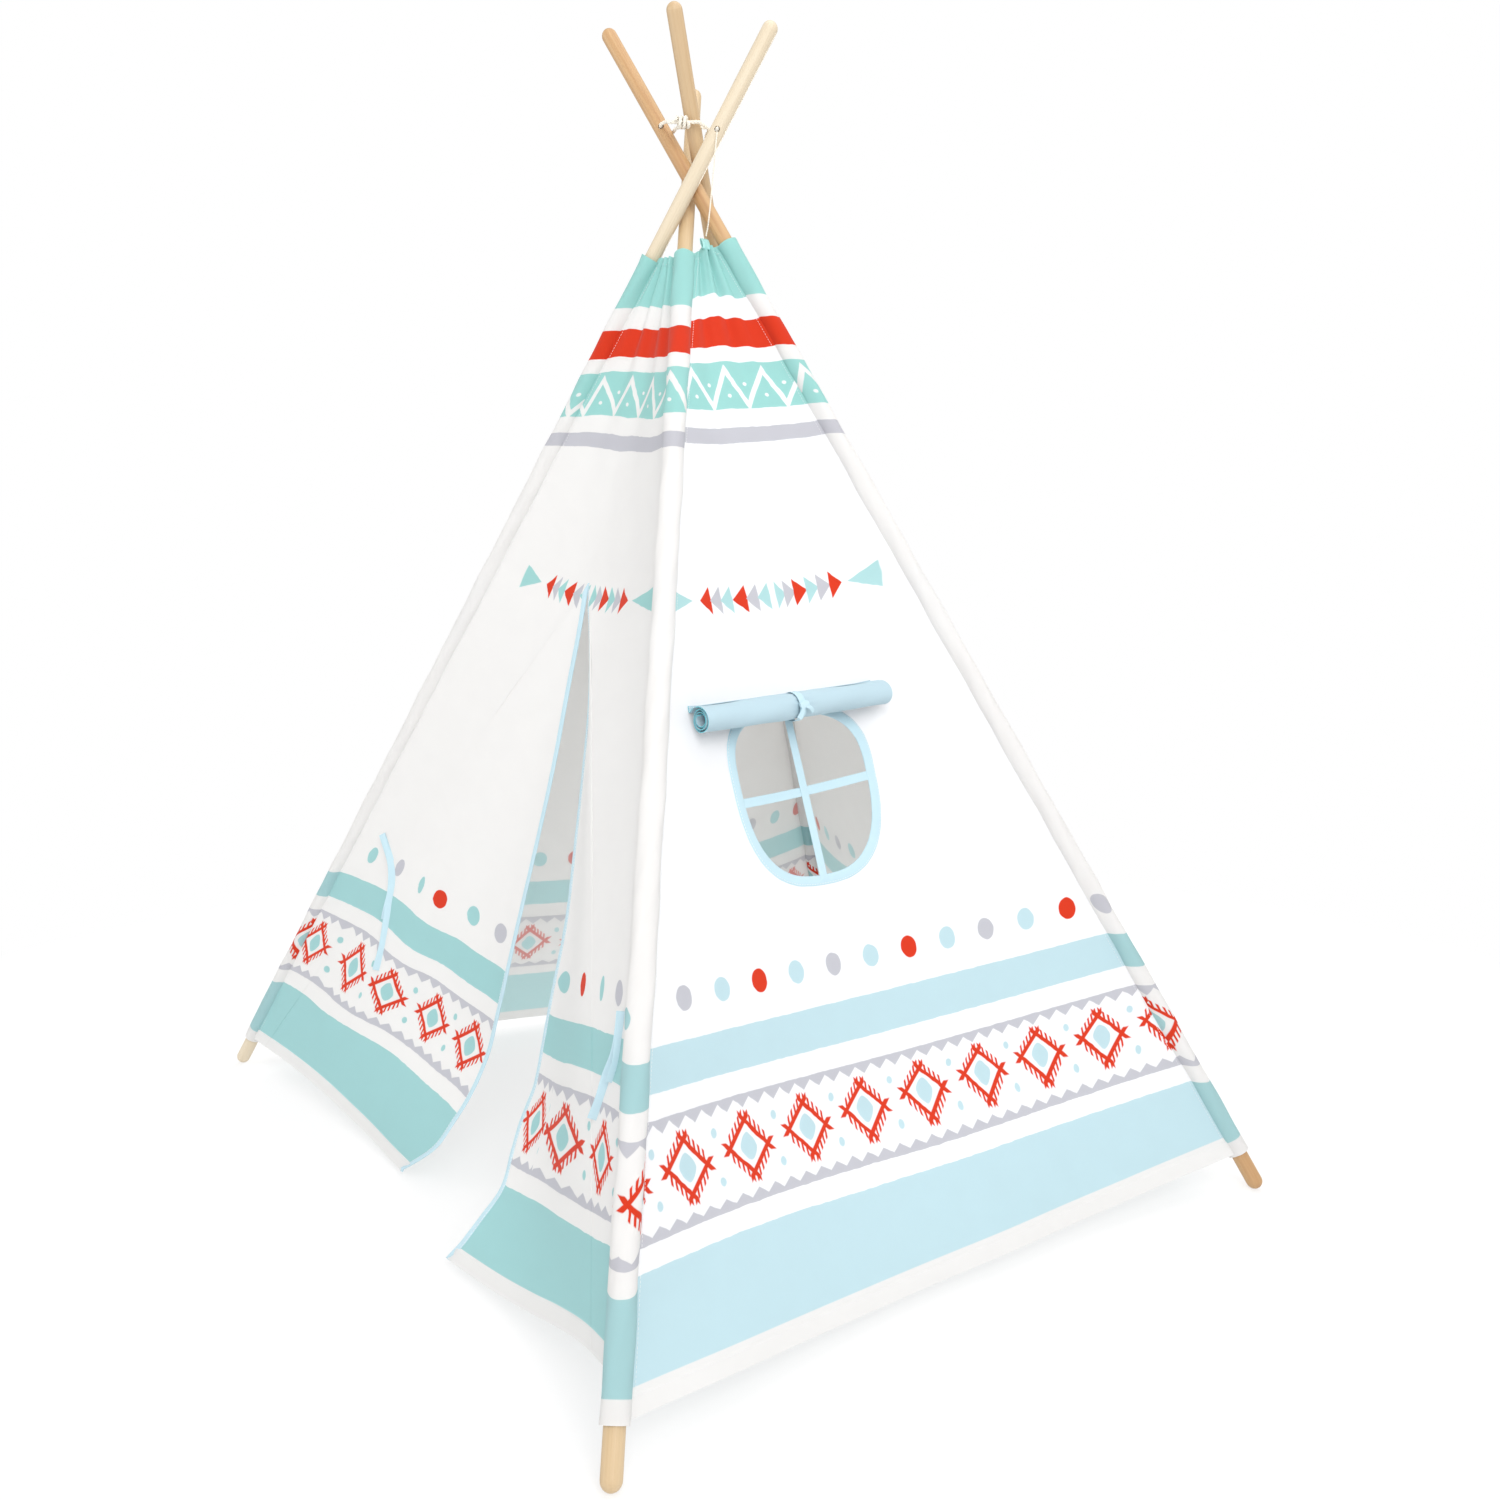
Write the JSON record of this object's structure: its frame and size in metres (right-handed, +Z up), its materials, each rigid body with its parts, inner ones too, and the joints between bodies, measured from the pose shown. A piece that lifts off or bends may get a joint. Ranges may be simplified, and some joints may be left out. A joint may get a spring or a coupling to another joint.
{
  "type": "kids teepee play tent",
  "caption": "Child's play teepee: crossing wooden poles, a printed cotton canopy with a split door, a barred window and a rolled blind, tied with rope at the top.",
  "frame": {"origin": "on the floor under the middle of the footprint's bounding box", "axes": "+Z up, -Y out of the door side, +X out of the window side"},
  "size_m": [1.3358, 1.2318, 1.6233],
  "materials": {
    "wood": "satin",
    "tin": "satin",
    "cotton": "matte",
    "blue_cotton": "matte",
    "rope": "matte"
  },
  "bodies": {
    "front_pole": {"pole_front_lower": "wood", "pole_front_upper": "wood", "ferrule_front": "tin", "sleeve_front": "cotton", "door_panel": "cotton", "door_tie_right": "blue_cotton", "window_panel": "cotton", "window_binding": "blue_cotton", "muntin_upright": "blue_cotton", "muntin_cross": "blue_cotton", "blind_header": "blue_cotton", "canopy_tab": "cotton"},
    "crown": {"lashing_rope": "rope", "lashing_wrap": "rope", "hang_cord": "rope"},
    "left_pole": {"pole_left_lower": "wood", "pole_left_upper": "wood", "ferrule_left": "tin", "sleeve_left": "cotton", "door_tie_left": "blue_cotton"},
    "right_pole": {"pole_right_lower": "wood", "pole_right_upper": "wood", "ferrule_right": "tin", "sleeve_right": "cotton"},
    "back_pole": {"pole_back_lower": "wood", "pole_back_upper": "wood", "ferrule_back": "tin", "sleeve_back": "cotton", "back_panel": "cotton", "left_panel": "cotton"},
    "left_door": {"door_flap_left": "cotton", "flap_binding_left": "blue_cotton"},
    "right_door": {"door_flap_right": "cotton", "flap_binding_right": "blue_cotton"},
    "blind": {"blind_tie": "blue_cotton"},
    "roll": {"blind_roll": "blue_cotton"}
  },
  "joints": [
    {"name": "fold", "type": "hinge", "parent": "front_pole", "child": "crown", "pos_m": [-0.05, -0.0365, 1.3937], "axis": [0.57, 0.8217, 0], "range_deg": [-31.89, 0], "deforming": ["door_panel", "window_panel", "back_panel", "left_panel", "door_flap_left", "door_flap_right", "flap_binding_left", "flap_binding_right", "door_tie_left", "door_tie_right", "window_binding", "muntin_upright", "muntin_cross", "blind_header", "blind_roll", "blind_tie", "sleeve_front", "sleeve_left", "sleeve_right", "sleeve_back", "lashing_rope", "lashing_wrap", "hang_cord", "canopy_tab"]},
    {"name": "left_pole_fold", "type": "hinge", "parent": "crown", "child": "left_pole", "pos_m": [0.0014, -0.0612, 1.3937], "axis": [-0.6368, 0.7711, 0], "range_deg": [-30.4, 0]},
    {"name": "right_pole_fold", "type": "hinge", "parent": "crown", "child": "right_pole", "pos_m": [-0.0149, -0.0449, 1.3937], "axis": [0.6619, -0.7496, 0], "range_deg": [-29, 0]},
    {"name": "back_pole_fold", "type": "hinge", "parent": "crown", "child": "back_pole", "pos_m": [-0.0384, -0.0155, 1.3937], "axis": [0.7534, 0.6576, 0], "range_deg": [-31, 0]},
    {"name": "left_door_swing", "type": "hinge", "parent": "left_pole", "child": "left_door", "pos_m": [-0.5865, -0.5849, 0.0423], "axis": [-0.5352, -0.3566, -0.7657], "range_deg": [0, 110], "deforming": ["door_tie_left"]},
    {"name": "right_door_swing", "type": "hinge", "parent": "front_pole", "child": "right_door", "pos_m": [0.5849, -0.5147, 0.0422], "axis": [-0.5871, 0.2859, 0.7573], "range_deg": [0, 110], "deforming": ["door_tie_right"]},
    {"name": "blind_slide", "type": "slide", "parent": "front_pole", "child": "blind", "axis": [0.3652, 0.0134, -0.9308], "range_m": [0, 0.25]},
    {"name": "blind_turn", "type": "hinge", "parent": "blind", "child": "roll", "pos_m": [0.3058, -0.0843, 0.6791], "axis": [-0.1376, 0.9892, 0.0513], "range_deg": [0, 797]}
  ],
  "couplings": [
    {"joint": "left_pole_fold", "follows": "fold", "ratio": 0.9467},
    {"joint": "right_pole_fold", "follows": "fold", "ratio": 0.9044},
    {"joint": "back_pole_fold", "follows": "fold", "ratio": 0.9523},
    {"joint": "blind_turn", "follows": "blind_slide", "rad_per_m": 55.556}
  ]
}
